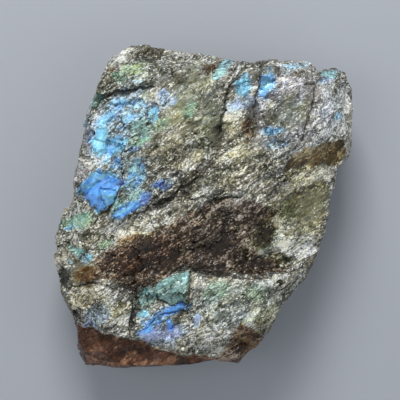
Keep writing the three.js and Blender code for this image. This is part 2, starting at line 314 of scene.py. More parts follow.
MARKS = (
    # The crown knob
    # painted highlight along the knob's top edge, which faces the light
    Mark("knob", Oval(-27.5, 52, 3, 1.2, 40), {Body.PALE: 0.7}),
    Mark("knob", Oval(-27, 45, 8, 5, 10), {Body.DARK: 0.12}),
    Mark("knob", Oval(-21.5, 46, 11.5, 5.5, 10), {Body.SAGE: 0.5}),
    Mark("knob top", Oval(-20, 51.5, 6, 3, 5), {Body.DARK: 0.5}),
    Mark("knob shade", Oval(-19, 50.5, 4, 2, 10), {Body.DARK: 0.55}),
    Mark("knob right", Oval(-11, 47.5, 11, 5.5, -5), {Body.DARK: 0.35}),
    Mark("knob edge", Oval(-31, 47, 1, 1.5, 70), {Body.UMBER: 0.7}),
    # painted shade in the crevice under the knob
    Mark("crevice under the knob", Oval(-28.5, 39, 8, 1, 12), {Body.DARK: 0.8}),
    # The slope from the knob to the windows
    Mark("knob slope", Oval(-4.5, 39, 13, 7, 55), {Body.SAGE: 0.8}),
    Mark("glassy knob slope", Oval(-4.5, 39, 12, 6, 55), {Body.GLASSY: 0.7}),
    Mark("knob streak", Oval(1.2, 46.8, 4.6, 1.3, 36), {Body.UMBER: 0.5, Body.OLIVE: 0.7}),
    Mark("knob streak", Oval(1.2, 46.8, 4.8, 1.3, 36), {Body.SMOKY: 0.9}),
    Mark("khaki crest", Oval(-19, 37.5, 3, 2, 20), {Body.PALE: 0.6}),
    Mark("khaki crest", Oval(-19, 37.5, 3.5, 2.2, 20), {Body.OLIVE: 1}),
    Mark("crest", Oval(-14.5, 36, 6, 4, 15), {Body.PALE: 0.6, Body.LILAC: 0.9}),
    Mark("lavender spot", Oval(-10.5, 34, 2, 1.5, 45), {Body.PALE: 0.6}),
    Mark("khaki", Oval(-11, 32, 7, 5.5, 30), {Body.OLIVE: 0.5}),
    Mark("khaki", Oval(-10, 30, 9, 6, 40), {Body.PALE: 0.3}),
    Mark("glassy khaki", Oval(-9, 27, 10, 7, 50), {Body.GLASSY: 0.5}),
    Mark("slab left of the chimney", Oval(2, 28.5, 10, 5, 85), {Body.SAGE: 0.8, Body.DARK: 0.05}),
    Mark("glassy slab left of the chimney", Oval(1, 29, 11, 6, 80), {Body.GLASSY: 0.6}),
    # painted shadow along the step of the chimney crack
    Mark("chimney", Oval(5.5, 29.5, 7, 1, 80), {Body.DARK: 0.7}),
    # Under the windows
    Mark("window foot", Oval(9.5, 27.5, 4, 3, 60), {Body.PALE: 0.55}),
    Mark("window foot", Oval(9.5, 32, 5.5, 4, 70), {Body.PALE: 0.9}),
    Mark("cream under the windows", Oval(10.5, 28, 5, 4, 70), {Body.OLIVE: 0.7}),
    Mark("stain", Oval(15.5, 24.5, 6, 2.2, 88), {Body.UMBER: 0.4}),
    Mark("stain", Oval(15, 25, 6, 2.5, 88), {Body.OLIVE: 0.8}),
    Mark("stain", Oval(15.8, 25, 6, 1.8, 88), {Body.DARK: 0.25}),
    Mark("stain", Oval(14.4, 26.8, 3.6, 1.7, 78), {Body.SMOKY: 0.95}),
    Mark("stain", Oval(13.5, 24, 7, 5, 80), {Body.PALE: 0.3}),
    Mark("under the stain", Oval(12, 18.5, 5, 3.5, 60), {Body.OLIVE: 1}),
    Mark("eye", Oval(11.5, 16.5, 2.5, 1.5, 15), {Body.OLIVE: 0.9}),
    Mark("left eye", Oval(-2, 17, 2, 2.5, 50), {Body.OLIVE: 0.8}),
    # The slabs at the upper right
    Mark("upper right", Oval(29, 34, 20, 15, 5), {Body.LILAC: 0.85}),
    Mark("upper right", Oval(41, 32, 13, 8, 75), {Body.PALE: 0.45}),
    Mark("glassy slabs", Oval(27.5, 32, 19, 13, 5), {Body.GLASSY: 0.45}),
    Mark("beside the windows", Oval(26, 34, 6, 5, 30), {Body.DARK: 0.2}),
    Mark("right slab", Oval(43, 34, 10, 6, 80), {Body.MINT: 0.6}),
    Mark("right slab head", Oval(30, 41.5, 5, 3, 0), {Body.LILAC: 1.2}),
    Mark("right slab head", Oval(29, 42.5, 4, 2, 0), {Body.PALE: 0.6}),
    Mark("between the cracks", Oval(29, 32, 8, 6, 20), {Body.OLIVE: 0.3, Body.SAGE: 0.9}),
    Mark("glassy between the cracks", Oval(29.5, 32.5, 6, 6, 20), {Body.GLASSY: 0.75}),
    Mark("shoulder", Oval(32.5, 33.5, 3.5, 2.5, 30), {Body.OLIVE: 0.5}),
    Mark("right bar", Oval(23, 26, 4.5, 2, 10), {Body.PALE: 0.7}),
    Mark("right zone", Oval(40, 34.5, 6, 7, 70), {Body.PALE: 0.35}),
    # painted light: paler rock along the right rim, where the surface turns from the light
    Mark("right rim", Oval(49, 30, 10, 2.5, 87), {Body.PALE: 0.8}),
    Mark("rim light", Oval(30.5, 47.5, 6, 1.5, 8), {Body.PALE: 0.7}),
    # The smoky corner and the right edge
    Mark("corner", CORNER, {Body.SMOKY: 1, Body.SAGE: 1, Body.PALE: 0.28, Body.UMBER: 0.3,
        Body.OLIVE: 0.6, Body.GLASSY: 1}),
    Mark("corner", Oval(35, 18.5, 7, 2.5, 12), {Body.PALE: 0.5}),
    Mark("under the corner", Oval(36, 9.5, 6, 2.5, 20), {Body.PALE: 0.7}),
    Mark("under the corner", Oval(34.5, 11, 9, 4.5, 15), {Body.OLIVE: 0.7}),
    Mark("right edge", Oval(36, -1, 10, 5, 75), {Body.DARK: 0.08}),
    Mark("right edge", Outline(((38.5, 9.5), (43, 7.5), (42, 0.5), (40, -6.5), (36.5, -10.5),
        (32.5, -9.5), (31, -4.5), (33, 2), (35, 6.5))), {Body.OLIVE: 0.9}),
    Mark("glassy edge", Oval(34.5, -1, 10, 7.5, 78), {Body.GLASSY: 0.85}),
    Mark("right hollow", Oval(29, -2, 10, 8, 70), {Body.OLIVE: 0.75}),
    Mark("right slate", Oval(29, -1.5, 4.5, 3, 45), {Body.SAGE: 1.1}),
    Mark("right slate", Oval(29, -1.5, 3.5, 2, 45), {Body.DARK: 0.25}),
    Mark("spot", Oval(27.5, -13.5, 3.5, 1.7, 10), {Body.PALE: 1.5}),
    Mark("spot", Oval(27.5, -13.5, 4, 2.2, 10), {Body.OLIVE: 0.55}),
    Mark("right pale", Oval(36, -14, 3, 1.8, 35), {Body.PALE: 0.7, Body.LILAC: 0.5}),
    # The left edge
    Mark("upper rim", Oval(-37.5, 30, 5, 2, 68), {Body.PALE: 0.6}),
    Mark("upper rim", Oval(-38, 27, 8, 2.5, 72), {Body.LILAC: 1.2}),
    Mark("left rim", Oval(-41, 12, 5.5, 2.6, 75), {Body.PALE: 0.5}),
    Mark("left rim", Oval(-41.5, 10, 4, 2.2, 75), {Body.LILAC: 0.8}),
    Mark("left edge", Oval(-37.5, 21, 12, 4, 80), {Body.LILAC: 0.6, Body.PALE: 0.35}),
    Mark("under the left green", Oval(-42, -8, 6, 3, 30), {Body.PALE: 0.5}),
    Mark("black grains", Oval(-40.5, -10, 2, 2, 0), {Body.DARK: 0.8}),
    Mark("left foot", Oval(-40.5, -13, 10, 8, 80), {Body.OLIVE: 0.45}),
    Mark("left", Oval(-41, -23, 5, 3, 10), {Body.UMBER: 0.62, Body.OLIVE: 1}),
    Mark("left", Oval(-39.5, -23.5, 6.5, 3.3, 5), {Body.SMOKY: 0.75}),
    Mark("glassy umber", Oval(-42, -23, 4.5, 4, 0), {Body.GLASSY: 0.9}),
    Mark("black edge", Oval(-48, -24.5, 3, 1.5, 100), {Body.DARK: 1}),
    # The middle
    Mark("heart", Oval(-9, 21, 14, 9, 60), {Body.OLIVE: 0.5}),
    Mark("middle mix", Oval(6, 9, 20, 8, 12), {Body.OLIVE: 0.4}),
    Mark("middle mix", Oval(-1, 8, 13, 5.5, 20), {Body.DARK: 0.5}),
    Mark("middle green", Oval(17, 15, 10, 6, 20), {Body.OLIVE: 0.5}),
    Mark("streak", Oval(2, 5.5, 7, 1, 20), {Body.PALE: 0.35}),
    Mark("grey hollow", Oval(15, 14.5, 4, 2.6, 80), {Body.DARK: 0.35}),
    Mark("diagonal", Oval(-11, 3.5, 6, 1, 38), {Body.DARK: 0.9}),
    Mark("second diagonal", Oval(6, 3, 7, 1, 6), {Body.DARK: 0.6}),
    # painted shade in the valley beside the long crack
    Mark("hollow beside the seam", Oval(-9.8, -2.6, 3, 1.7, 30), {Body.DARK: 0.4}),
    Mark("cream streak", Oval(-12.5, -5, 3, 1, 25), {Body.PALE: 0.8}),
    Mark("ochre", Oval(-9.5, -5.5, 1.5, 1.5, 60), {Body.UMBER: 0.8}),
    Mark("cream slope", Oval(-23.5, -8, 12, 4, 28), {Body.OLIVE: 0.25}),
    Mark("cream slope", Oval(-22.5, -7, 11, 2.6, 28), {Body.PALE: 0.4}),
    # The smoky band
    Mark("band", BAND, {Body.SMOKY: 1}),
    Mark("band root", Oval(-21, -17.5, 16, 6.5, 14), {Body.UMBER: 0.6}),
    Mark("band root", Oval(-19, -18, 15, 5, 14), {Body.DARK: 0.4}),
    Mark("under the band root", Oval(-24, -28.5, 7, 2.5, -10), {Body.DARK: 0.35, Body.UMBER: 0.3}),
    Mark("band crest", Oval(-24, -11.3, 7, 2.4, 12), {Body.OLIVE: 1}),
    Mark("band crest", Oval(-25.5, -11.6, 5, 2.2, 12), {Body.UMBER: 0.45}),
    Mark("band crest", Oval(-25.3, -11.8, 6, 2.5, 12), {Body.SMOKY: 0.75}),
    Mark("band middle", Oval(3.5, -11.5, 9.5, 5.5, 20), {Body.DARK: 0.4}),
    Mark("band heart", Oval(14.5, -18, 6, 2.5, -5), {Body.DARK: 0.8}),
    Mark("band shoulder", Oval(21, -10, 4.5, 3, 60), {Body.DARK: 0.6}),
    Mark("band shoulder", Oval(20.5, -10.5, 6.5, 4.5, 60), {Body.SAGE: 1.2, Body.MINT: 1,
        Body.OLIVE: 0.5}),
    Mark("glassy band shoulder", Oval(20.5, -10.5, 4.5, 3, 60), {Body.GLASSY: 0.7}),
    Mark("band crumbs", Oval(25, -5, 2.2, 1.6, 60), {Body.PALE: 0.9}),
    Mark("band crumb", Oval(18.5, -15.8, 1.6, 0.9, 10), {Body.PALE: 1.2}),
    Mark("band streak", Oval(-5, -6.5, 5, 1.3, 35), {Body.PALE: 0.7}),
    Mark("band streak right", Oval(8, 1, 6, 1, 15), {Body.PALE: 0.5}),
    Mark("band streak left", Oval(-13, -9, 3, 0.9, 45), {Body.PALE: 0.6}),
    Mark("end of the band", Oval(25, -18, 5, 2, 5), {Body.DARK: 0.25, Body.OLIVE: 1}),
    # painted shadow under the band's step, just above the ledge
    Mark("foot of the band", Oval(8, -21.3, 15, 1.8, -2), {Body.DARK: 0.6}),
    # The lower ledge
    Mark("ledge", Oval(12, -33, 19, 8, 12), {Body.MINT: 0.9, Body.PALE: 0.15}),
    Mark("ledge", Oval(10, -33, 17, 8, 12), {Body.DARK: 0.12}),
    Mark("glassy ledge", Oval(12, -32, 18, 7, 12), {Body.GLASSY: 0.15}),
    Mark("ledge zone", Oval(10.5, -31, 14.5, 6, 8), {Body.PALE: 0.35}),
    # painted highlight on the lip of the ledge, which faces the light
    Mark("lip of the ledge", Oval(10, -27, 16, 2.6, 1), {Body.PALE: 0.42}),
    Mark("ledge end", Oval(22.5, -37.5, 7, 5, 40), {Body.OLIVE: 0.7}),
    Mark("pale end of the ledge", Oval(22.5, -33.5, 5, 2.8, 75), {Body.PALE: 0.55}),
    Mark("ledge hollow", Oval(6, -34, 5, 2, 20), {Body.DARK: 0.35}),
    # painted shade in the crevice down the ledge
    Mark("ledge crevice", Oval(-24, -38.5, 5.5, 1, 98), {Body.DARK: 0.9}),
    Mark("ledge snow", Oval(2.5, -43, 8, 3.2, 15), {Body.PALE: 0.62}),
    Mark("snow streak", Oval(1.5, -38.3, 5, 1.1, 10), {Body.DARK: 0.6}),
    Mark("snow left", Oval(-1.5, -26, 3, 2, 20), {Body.PALE: 0.6}),
    Mark("snow middle", Oval(9, -27, 4, 2, 0), {Body.PALE: 0.65}),
    Mark("snow right", Oval(22, -25.3, 5, 1.8, 12), {Body.PALE: 0.75}),
    Mark("snow foot", Oval(16.5, -37, 4.5, 2.4, 50), {Body.PALE: 0.6}),
    # The khaki block
    Mark("khaki block", Oval(-29, -35, 4.5, 3.5, 20), {Body.OLIVE: 0.7}),
    Mark("khaki block", Oval(-33, -33.5, 9, 5, -10), {Body.PALE: 0.35}),
    Mark("khaki block left", Oval(-39.5, -31, 9, 6, -20), {Body.OLIVE: 0.6}),
    Mark("khaki block left", Oval(-38, -32, 9, 6, -20), {Body.UMBER: 0.3}),
    Mark("khaki hollow", Oval(-36.5, -34, 3, 2.5, 40), {Body.DARK: 0.5}),
    Mark("khaki lump", Oval(-29.5, -36, 4, 3, 60), {Body.PALE: 0.65}),
    Mark("khaki rim", Oval(-35.5, -29.7, 7, 1.6, -8), {Body.PALE: 0.55}),
    # The foot
    Mark("foot", FOOT, {Body.SMOKY: 1, Body.UMBER: 1.4, Body.RUSSET: 0.35, Body.PALE: 0.15,
        Body.GLASSY: 1}),
    Mark("foot corner", WEDGE, {Body.SMOKY: 1, Body.UMBER: 0.5, Body.OLIVE: 0.5}),
    Mark("glassy foot corner", Oval(15, -45, 5, 4, 60), {Body.GLASSY: 0.9}),
    Mark("foot corner bumps", Oval(7, -50.8, 6.5, 2.2, 8), {Body.PALE: 1}),
    Mark("bumps over the foot", Oval(0.5, -47.8, 4.5, 1.8, 0), {Body.PALE: 0.55}),
)

# Each crack is cut into the stone, and its dark line is painted shade that grows darker with its depth.
CRACKS = (
    Crack("knob crevice", ((-39, 33), (-36, 36), (-33.5, 37.5), (-30.5, 39), (-26, 39.5), (-22, 40),
          (-17.5, 41)), 1, 0.9),
    Crack("block side", ((-28, 12), (-29, 6.5), (-30.5, 1.5), (-33, -1.5), (-36, -4), (-38.5, -7)),
          0.5, 0.8),
    Crack("block top", ((-36.5, 12), (-33, 11), (-28.5, 9.5)), 0.4, 0.6),
    Crack("block cross", ((-35.5, 6), (-33, 5.5), (-30, 5.5)), 0.5, 0.6),
    Crack("block split", ((-40, 4), (-37.5, 7), (-35, 9)), 0.5, 0.5),
    Crack("block heart", ((-35.8, 6), (-35.2, 3), (-33.8, 0)), 0.45, 0.5),
    Crack("leaf right", ((-33, 26.5), (-34, 22.5), (-35, 19), (-36.5, 17.5)), 0.3, 0.3),
    Crack("long seam", ((-29, -6.5), (-26.5, -4.5), (-23.5, -3), (-20, -2), (-17, 0), (-13.5, 2),
          (-10, 4), (-5.5, 8), (-1, 10.5)), 0.8, 1),
    Crack("long seam right", ((-4, 2), (-1, 3), (5.5, 2.5), (13, 3.5)), 0.7, 0.8),
    Crack("upright crack", ((19, 48.5), (18.5, 43), (18, 39.5), (17, 36), (17, 32)), 0.5, 0.9),
    Crack("upright crack foot", ((17, 33), (16.8, 30), (16.5, 26), (16.5, 17)), 0.5, 0.4),
    Crack("chimney crack", ((13, 47), (10.5, 43.5), (8.5, 39.5), (7.5, 37), (6.5, 33), (5.5, 28.5),
          (5, 24.5)), 0.7, 0.8),
    Crack("right crack", ((31.5, 40.5), (34.5, 41.5), (37, 41.5), (37.5, 37), (36.5, 33.5),
          (35, 30), (34.5, 27), (34, 22)), 0.5, 0.8),
    Crack("streak edge", ((0, 43), (2.5, 46.5), (5.5, 50)), 0.5, 0.7),
    Crack("aqua edge", ((12, 49.5), (8.5, 44), (6.5, 40.5)), 0.7, 0.9),
    # This crack's painted shade is the shadow under the band's step, just above the ledge.
    Crack("ledge foot", ((-5.5, -21), (1, -22.5), (10.5, -23.5), (22.5, -23.5), (29, -22.5),
          (34, -20)), 0.9, 1.2),
    Crack("ledge seam", ((-23.5, -31.5), (-23, -34), (-23.5, -36), (-24.5, -39.5), (-25.5, -43.5)),
          1.2, 1.2),
    Crack("teal block bottom", ((-16.5, -31.5), (-11.5, -33.5), (-6, -33)), 0.5, 0.8),
    Crack("teal block left", ((-16, -25.5), (-17, -28.5), (-16, -31.5)), 0.4, 0.6),
    Crack("teal block right", ((-5, -22.5), (-5, -28.5), (-5.5, -33)), 0.7, 0.7),
    Crack("teal block inner", ((-12, -24), (-11, -28), (-11.5, -33)), 0.4, 0.4),
    Crack("blue drop edge", ((-24.5, -43.5), (-20, -41), (-16.5, -38), (-13, -36.5), (-5.5, -36)),
          0.5, 0.6),
    Crack("khaki block top", ((-45.5, -27.5), (-39, -26), (-32, -27.5), (-26, -31), (-24, -33)),
          0.6, 0.8),
    Crack("foot crest", ((-41.5, -41), (-35, -43), (-26.5, -44.5), (-21.5, -46), (-11.5, -48),
          (-1.5, -49)), 0.5, 0.5),
    Crack("window left", ((9.5, 37), (11.5, 39), (11.5, 43.5), (13.5, 45.5)), 0.5, 0.5),
    Crack("window right", ((18, 37), (21.5, 37), (25, 38), (26, 41.5)), 0.5, 0.5),
)

PLATES = (
    Plate("great block", GREAT_BLOCK, 0.6),
    Plate("leaf", Oval(-35.5, 22.5, 4.5, 2, 72), 0.5),
    Plate("lower leaf", Oval(-26.5, -1, 5, 2, 30), 0.5),
    Plate("teal block", TEAL_BLOCK, 1.0),
    Plate("khaki block", Outline(((-47, -28.5), (-39, -26.5), (-32, -27.5), (-26, -30.5),
          (-24.5, -33.5), (-25, -38), (-26, -43.5), (-35.5, -42.5), (-41.5, -39.5),
          (-45.5, -33.5))), 1.1),
    Plate("smoky corner", CORNER, -0.55, 0.8),
    Plate("band heart", Oval(6, -12, 20, 8, 12), -0.9, 3.0),
    Plate("left window", Oval(13, 40.5, 3.2, 2, 75), -0.4),
    Plate("right window", Oval(21, 40.5, 3.8, 2.2, 60), -0.3),
    Plate("middle shoulder", Outline(((-9, 39), (3, 46), (5, 38), (4, 26), (1, 19), (-7, 22),
          (-12, 30))), 0.7, 0.6),
    Plate("right of the crack", Outline(((17.5, 46), (30, 41), (36, 40), (33, 22), (27, 17),
          (17, 17))), 0.6),
    Plate("ledge snow", Oval(2.5, -42, 10, 4, 15), 0.8, 0.8),
)


# Random fields


def eased(share: Field) -> Field:
    """A share from 0 to 1 that starts and ends softly."""
    return share * share * (3.0 - 2.0 * share)


def soft_step(low: float, high: float, value: Field) -> Field:
    """A smooth ramp from 0 at `low` to 1 at `high`, which may be the smaller."""
    return eased(np.clip((value - low) / (high - low), 0.0, 1.0))


class RandomField:
    """Random numbers laid out in space, the same on every run."""

    SEED_SPREAD = 2654435761
    MIXERS = (np.uint32(73856093), np.uint32(19349663), np.uint32(83492791))
    SCRAMBLES = ((16, 0x7FEB352D), (15, 0x846CA68B), (16, 1))
    BITS = 10  # in each random number
    CORNERS = np.array([(x, y, z) for x in (0, 1) for y in (0, 1) for z in (0, 1)])
    AROUND = np.array([(x, y, z) for x in (-1, 0, 1) for y in (-1, 0, 1) for z in (-1, 0, 1)])
    OCTAVE_SHIFT = 17.3  # keeps the bumps of one octave off those of the next
    CLOUD_REACH = 1.2  # brings the sum of the octaves back to about -1 to 1
    RESHUFFLE = 7.31  # makes a cell's numbers differ from those that placed its seed

    def __init__(self, seed: int) -> None:
        """Starts a field that differs from those with other seeds."""
        self.seed = np.uint32(seed * self.SEED_SPREAD % 2**32)

    def at(self, cells: Points) -> Points:
        """Three random numbers from 0 to 1 for each cell of a grid of unit cubes."""
        whole = cells.astype(np.int64).astype(np.uint32)
        mixed = self.seed + np.zeros(len(cells), np.uint32)
        for axis, mixer in enumerate(self.MIXERS):
            mixed ^= whole[:, axis] * mixer
        for shift, mixer in self.SCRAMBLES:
            mixed = (mixed ^ (mixed >> np.uint32(shift))) * np.uint32(mixer)
        most = 2**self.BITS - 1
        numbers = [mixed >> np.uint32(self.BITS * i) & np.uint32(most) for i in range(3)]
        return np.stack(numbers, axis=1) / float(most)

    def smooth(self, points: Points) -> Field:
        """Soft noise from -1 to 1, with bumps about one unit across."""
        base = np.floor(points)
        share = eased(points - base)
        total = np.zeros(len(points))
        for corner in self.CORNERS:
            weight = np.prod(np.where(corner, share, 1.0 - share), axis=1)
            total += weight * self.at(base + corner)[:, 0]
        return 2.0 * total - 1.0

    def cloud(self, points: Points, octaves: int) -> Field:
        """Noise from about -1 to 1 with finer noise laid over it."""
        layers = [self.smooth(points * 2.0**i + self.OCTAVE_SHIFT * i) * 0.5**i
                  for i in range(octaves)]
        return np.sum(layers, axis=0) / self.CLOUD_REACH

    def cells(self, points: Points) -> tuple[Points, Points, Field]:
        """Splits space into irregular cells about one unit across.

        Args:
            points: Points in units of a cell.

        Returns:
            For each point, its offset from its cell's seed, three random numbers of its cell,
            and how near it is to the next cell, 0 at the border.
        """
        base = np.floor(points)
        best = np.full(len(points), np.inf)
        second = best.copy()
        offset = np.zeros_like(points)
        luck = np.zeros_like(points)
        for step in self.AROUND:
            random = self.at(base + step)
            away = points - (base + step + random)
            far = np.sum(away * away, axis=1)
            nearer = far < best
            second = np.where(nearer, best, np.minimum(second, far))
            best = np.where(nearer, far, best)
            offset[nearer] = away[nearer]
            luck[nearer] = random[nearer]
        return offset, (luck * self.RESHUFFLE) % 1.0, np.sqrt(second) - np.sqrt(best)


@dataclass(frozen=True)
class Foliation:
    """The way the stone's plates run: a heading in the face and a dip into the stone, degrees."""

    heading: float = 36.0
    dip: float = 24.0

    def axes(self) -> Points:
        """Unit vectors along the plates, across them and through the stone, one row each."""
        turn, lean = math.radians(self.heading), math.radians(self.dip)
        along = np.array([math.cos(turn), math.sin(turn), 0.0])
        flat = np.array([-math.sin(turn), math.cos(turn), 0.0])
        up = np.array([0.0, 0.0, 1.0])
        across = flat * math.cos(lean) + up * math.sin(lean)
        return np.stack([along, across, np.cross(along, across)])

    def stretched(self, points: Points, sizes: Sequence[float]) -> Points:
        """Points in units of a grain with those sizes along, across and through the plates."""
        return points @ self.axes().T / np.array(sizes)


@dataclass(frozen=True)
class Breakage:
    """One size of broken plate, in millimetres, and how far such plates differ.

    Plates differ in height by `rise`, in slope by `slope` and in lightness by `tone`; `groove` is
    the depth of the lines between some of them.
    """

    sizes: tuple[float, float, float]
    rise: float
    slope: float
    groove: float
    tone: float


@dataclass(frozen=True)
class Vein:
    """How one of the mesh's fields is strewn through the hidden stone.

    Its patches have the sizes given along, across and through the plates, in millimetres. It is
    0 where the noise is below `low` and `amount` where the noise is above `high`.
    """

    field: str
    sizes: tuple[float, float, float]
    shift: float
    octaves: int
    low: float
    high: float
    amount: float = 1.0


SEAMS = (26.0, 9.0, 30.0)  # long veins
SPOTS = (9.0, 5.0, 7.0)  # short patches

VEINS = (
    Vein(Body.SMOKY.value, SEAMS, 0.0, 4, 0.18, 0.36),
    Vein(Body.UMBER.value, SPOTS, 31.0, 3, 0.42, 0.6, 0.8),
    Vein(Body.RUSSET.value, SEAMS, 53.0, 3, 0.3, 0.5, 0.6),
    Vein(Body.OLIVE.value, SEAMS, 9.0, 3, 0.1, 0.4, 0.7),
    Vein(Body.SAGE.value, SPOTS, 19.0, 3, 0.2, 0.5, 0.6),
    Vein(Body.MINT.value, SEAMS, 23.0, 3, 0.2, 0.5, 0.6),
    Vein(Body.LILAC.value, SPOTS, 29.0, 3, 0.25, 0.5, 0.5),
    Vein(Body.GLASSY.value, SEAMS, 37.0, 3, -0.1, 0.4, 0.8),
    Vein(Body.PALE.value, SPOTS, 64.0, 3, 0.25, 0.6, 0.6),
    Vein(Body.DARK.value, SPOTS, 83.0, 3, 0.3, 0.6, 0.6),
    Vein("flash", SPOTS, 47.0, 3, 0.1, 0.62, 0.85),
)


# The stone's mesh


@dataclass
class Relief:
    """What breaking the stone into plates does at each point."""

    lift: Field
    tone: Field
    glass: Field
    warmth: Field
    # painted shade in the grooves between plates
    edge: Field


@dataclass
class Stone:
    """The chunk itself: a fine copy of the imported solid, broken up and dressed.

    Sizes are in millimetres. A slope is how far a normal rises, 1 straight up and -1 straight
    down. A depth is 0 on a patch's edge and 1 well inside it, and a closeness is 0 on a crack's
    lips and 1 on its middle line. A pair of numbers is where a soft change starts and ends.
    """

    SWAY_SEED = 5
    SWELL_SEED = 6
    VEIN_SEED = 11
    PLATE_SEED = 20
    SWAY_SHIFT = 40.0  # keeps the three directions of the sway apart
    HUE_SHIFT = 71.0  # keeps the hue's pattern apart from the veins
    RESHUFFLE = 9.17  # makes a plate's gloss and warmth differ from its height and tone

    name: str = "labradorite_stone"
    voxel: float = 0.42
    triangles: int = 190_000
    sharp_angle: float = 32.0
    foliation: Foliation = Foliation()
    breakages: tuple[Breakage, ...] = (
        Breakage((17.0, 9.0, 10.0), 0.6, 0.11, 0.0, 0.45),
        Breakage((7.0, 3.6, 4.5), 0.26, 0.13, 0.12, 0.5),
        Breakage((2.8, 1.5, 1.9), 0.05, 0.08, 0.04, 0.3),
    )
    sway_size: float = 2.6  # of the wobbles that make the edges of plates and patches ragged
    patch_sway: float = 0.8
    plate_sway: float = 0.2  # as a share of a plate's width
    swell: float = 0.3
    swell_size: float = 14.0
    line_width: float = 0.2  # of the lines between plates, in plates
    line_chance: Band = (0.35, 0.8)
    glassy_calm: float = 0.7  # the share of its relief that glassy rock loses
    side_calm: float = 0.35  # and that the sides lose
    # The lines between plates are darkened with painted shade, more for deeper grooves.
    line_calm: float = 0.6  # the share of the lines between plates that glassy rock loses
    flash_calm: float = 0.85  # and that a flash loses
    line_shade: float = 3.0  # how dark a line is for each millimetre of its depth
    plate_gloss: float = 0.5  # how far plates differ in gloss
    mean_warmth: float = 0.5
    plate_warmth: float = 0.5  # how far plates differ in warmth
    crack_lip: float = 0.8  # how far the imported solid's grooves reach beyond a crack's own width
    softened: Band = (-3.0, 0.0)  # closeness
    softening: int = 45
    softness: float = 0.9
    soft_grades: int = 5
    crack_walls: Band = (-0.4, 1.0)  # closeness
    crack_shade: Band = (-0.3, 0.8)  # closeness
    front_heights: Band = (9.0, 19.0)
    front_slopes: Band = (-0.1, 0.25)
    side_slopes: Band = (0.6, 0.2)
    back_slopes: Band = (-0.55, -0.9)
    back_heights: Band = (0.8, 0.2)
    back_pits: float = 0.6  # the deepest
    patch_edge: Band = (-0.5, 0.6)  # depth
    flash_edge: Band = (-0.7, 0.4)  # depth
    glassy_flash: Band = (0.86, 1.0)
    hue_sharpness: int = 6  # how firmly the stronger of two flashes sets the hue
    hidden_hue: float = 0.6
    hidden_hue_reach: float = 0.45

    def build(self) -> bpy.types.Object:
        """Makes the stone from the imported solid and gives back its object."""
        stone = self._fine_copy()
        self._soften_cracks(stone)
        base, normals = self._read(stone.data)
        wander = RandomField(self.SWAY_SEED)
        sway = np.stack([wander.cloud(base / self.sway_size + self.SWAY_SHIFT * i, 4)
                         for i in range(3)], axis=1)
        places = self._seen_from_above(base) + self.patch_sway * sway[:, :2]
        front = self._front(base, normals)
        fields = self._fields(base, places, front)
        upright = soft_step(*self.side_slopes, np.abs(normals[:, 2]))
        relief = self._break(base, sway, fields["glassy"], upright)
        lift = relief.lift + (self._plates(places) - self._cuts(places)) * front
        fields["tone"] = relief.tone
        fields["warmth"] = self.mean_warmth + self.plate_warmth * relief.warmth
        fields["glassy"] = np.clip(fields["glassy"] + self.plate_gloss * relief.glass, 0.0, 1.0)
        # painted shade along the cracks and in the grooves between plates
        fields["seam"] = np.maximum(relief.edge * (1.0 - self.flash_calm * fields["flash"]),
                                    self._seam_shades(places) * front)
        self._write(stone.data, self._settled(base, normals, lift), fields)
        self._thin_out(stone)
        return stone

    def _fine_copy(self) -> bpy.types.Object:
        """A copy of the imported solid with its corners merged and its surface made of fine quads."""
        bpy.ops.object.select_all(action="DESELECT")
        stone = bpy.data.objects.new(self.name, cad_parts[CAD_NODE].data.copy())
        stone.data.name = self.name
        bpy.context.scene.collection.objects.link(stone)
        stone.select_set(True)
        bpy.context.view_layer.objects.active = stone
        bpy.ops.object.mode_set(mode="EDIT")
        bpy.ops.mesh.select_all(action="SELECT")
        bpy.ops.mesh.remove_doubles(threshold=1e-6)
        bpy.ops.object.mode_set(mode="OBJECT")
        remesh = stone.modifiers.new("fine", "REMESH")
        remesh.mode = "VOXEL"
        remesh.voxel_size = self.voxel * MM
        bpy.ops.object.modifier_apply(modifier=remesh.name)
        return stone

    def _soften_cracks(self, stone: bpy.types.Object) -> None:
        """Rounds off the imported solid's straight grooves, so that ragged cracks can be cut there."""
        places = self._seen_from_above(self._read(stone.data)[0])
        near = np.max([soft_step(*self.softened, crack.closeness(places, self.crack_lip))
                       for crack in CRACKS], axis=0)
        group = stone.vertex_groups.new(name="cracks")
        for grade in range(1, self.soft_grades + 1):
            chosen = np.nonzero(np.round(near * self.soft_grades) == grade)[0]
            group.add(chosen.tolist(), grade / self.soft_grades, "REPLACE")
        soften = stone.modifiers.new("soften", "SMOOTH")
        soften.vertex_group = group.name
        soften.factor = self.softness
        soften.iterations = self.softening
        bpy.ops.object.modifier_apply(modifier=soften.name)
        stone.vertex_groups.clear()

    @staticmethod
    def _read(mesh: bpy.types.Mesh) -> tuple[Points, Points]:
        """The mesh's points in millimetres and its normals."""
        points = np.zeros(len(mesh.vertices) * 3, np.float32)
        normals = points.copy()
        mesh.vertices.foreach_get("co", points)
        mesh.vertices.foreach_get("normal", normals)
        return points.reshape(-1, 3) / MM, normals.reshape(-1, 3).astype(float)

    @staticmethod
    def _seen_from_above(points: Points) -> Points:
        """Where each point is seen on the face from the eye."""
        nearness = (EYE[2] - WAIST_HEIGHT) / (EYE[2] - points[:, 2])
        eye = np.array(EYE[:2])
        return eye + (points[:, :2] - eye) * nearness[:, None]

    def _front(self, points: Points, normals: Points) -> Field:
        """1 on the flashing face and the upper sides, 0 on the lower sides and the back."""
        height = soft_step(*self.front_heights, points[:, 2])
        return height * soft_step(*self.front_slopes, normals[:, 2])

